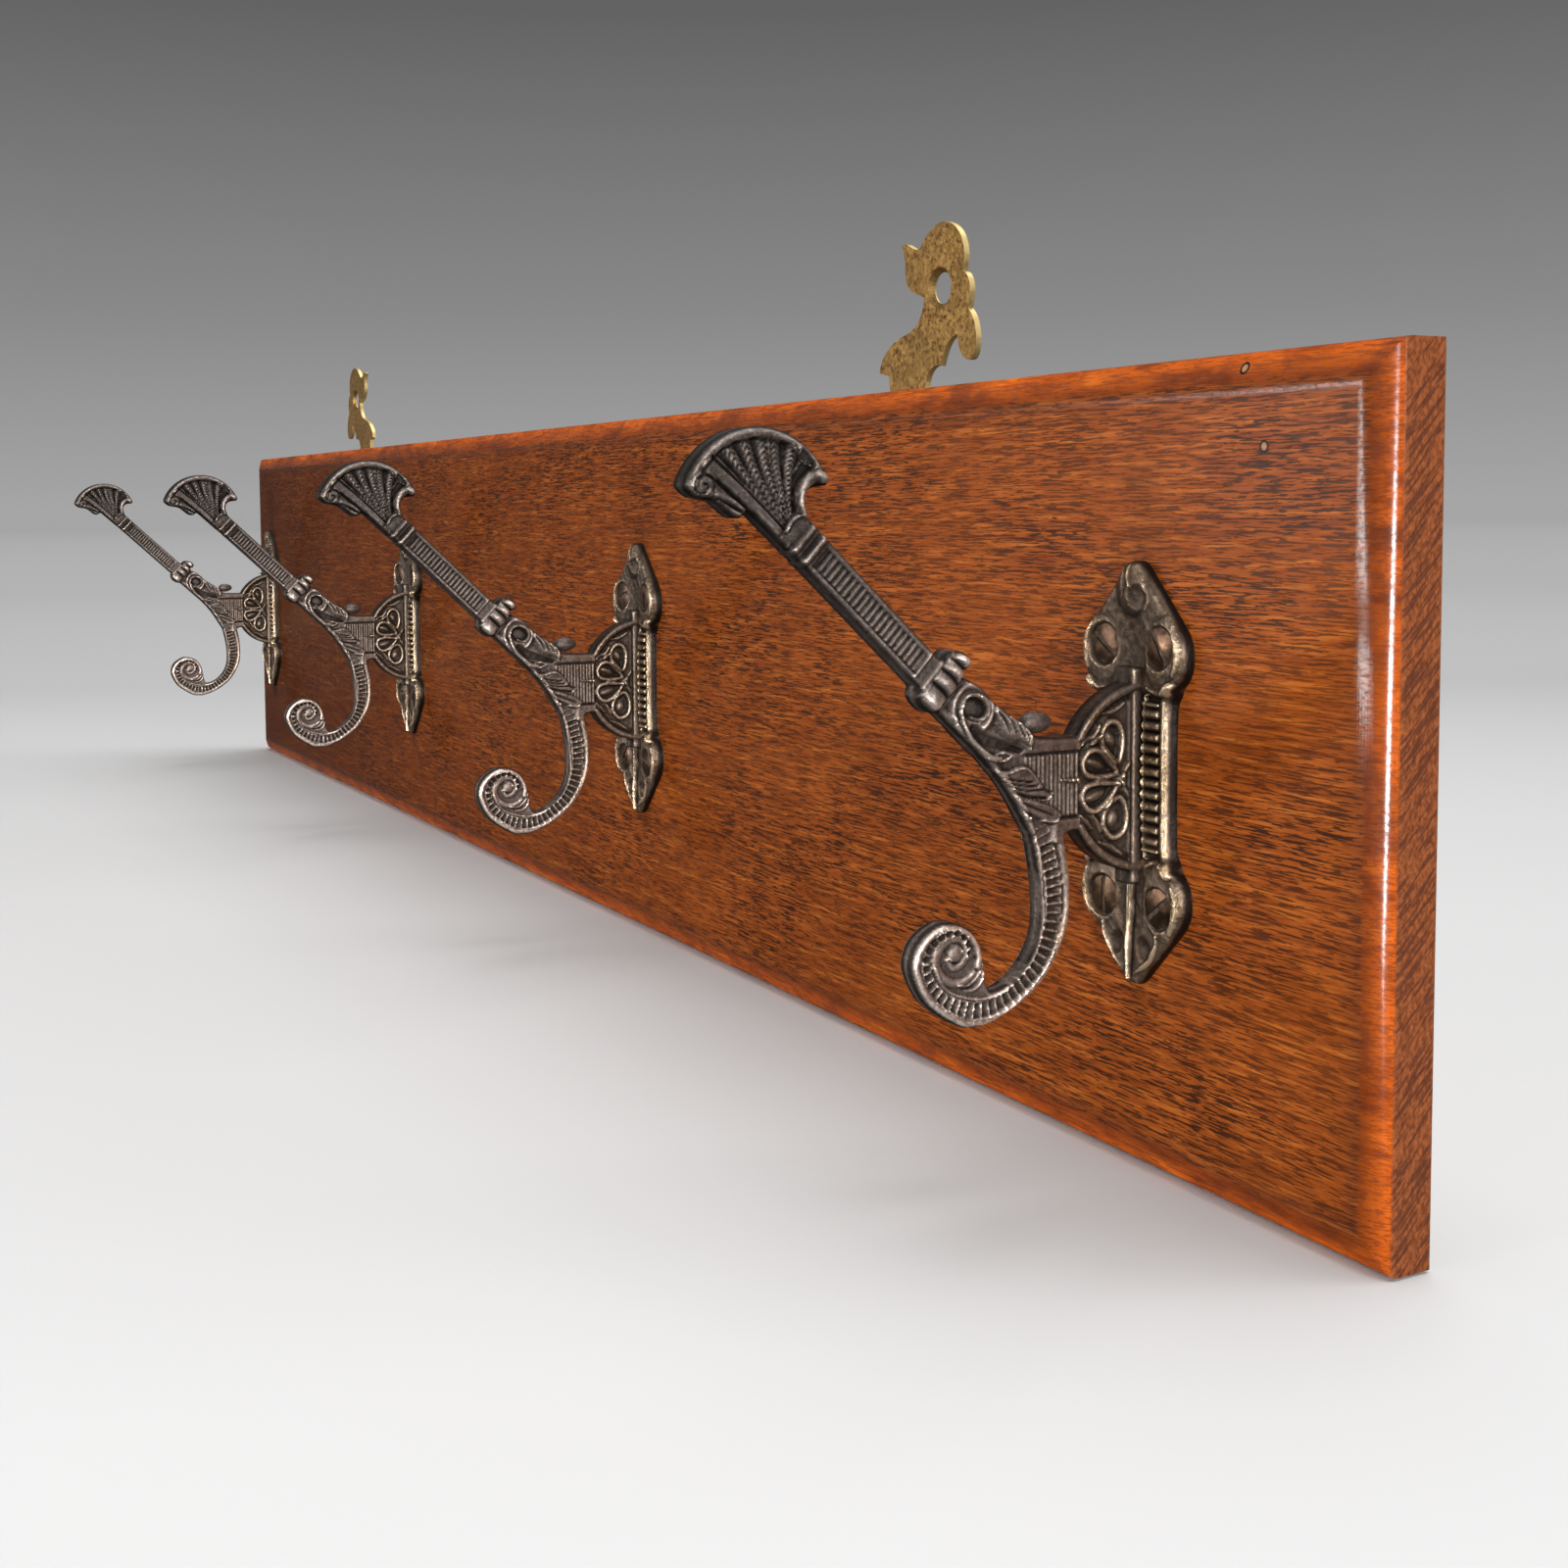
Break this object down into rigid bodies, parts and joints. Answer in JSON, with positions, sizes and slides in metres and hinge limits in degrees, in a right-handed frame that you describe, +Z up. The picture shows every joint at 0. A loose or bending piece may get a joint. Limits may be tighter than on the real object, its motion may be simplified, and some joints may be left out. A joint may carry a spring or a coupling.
{
  "type": "wall hook rack",
  "caption": "Chamfered mahogany board with a row of ornate cast double hooks, hung on the wall by two leafy brass hangers at its top edge.",
  "frame": {"origin": "centre of the board's back face, in the plane of the wall", "axes": "+X along the board to the right as seen from the room, +Y into the wall, +Z up"},
  "size_m": [0.765, 0.1052, 0.1868],
  "materials": {
    "mahogany": "dark red-brown mahogany under gloss varnish",
    "hook_metal": "aged cast bronze, dark in the recesses and worn bright on the edges",
    "hook_screws": "coppery, polished slotted heads",
    "hanger_brass": "satin speckled brass sheet with bright cut edges",
    "hanger_screws": "plain slotted steel"
  },
  "bodies": {
    "root": {"board": "mahogany", "hook_1": "hook_metal", "hook_1_screw_upper_left": "hook_screws", "hook_1_screw_upper_right": "hook_screws", "hook_1_screw_lower_left": "hook_screws", "hook_1_screw_lower_right": "hook_screws", "hook_2": "hook_metal", "hook_2_screw_upper_left": "hook_screws", "hook_2_screw_upper_right": "hook_screws", "hook_2_screw_lower_left": "hook_screws", "hook_2_screw_lower_right": "hook_screws", "hook_3": "hook_metal", "hook_3_screw_upper_left": "hook_screws", "hook_3_screw_upper_right": "hook_screws", "hook_3_screw_lower_left": "hook_screws", "hook_3_screw_lower_right": "hook_screws", "hook_4": "hook_metal", "hook_4_screw_upper_left": "hook_screws", "hook_4_screw_upper_right": "hook_screws", "hook_4_screw_lower_left": "hook_screws", "hook_4_screw_lower_right": "hook_screws", "hanger_right": "hanger_brass", "hanger_right_screw_upper": "hanger_screws", "hanger_right_screw_lower": "hanger_screws", "hanger_left": "hanger_brass", "hanger_left_screw_upper": "hanger_screws", "hanger_left_screw_lower": "hanger_screws"}
  },
  "joints": []
}
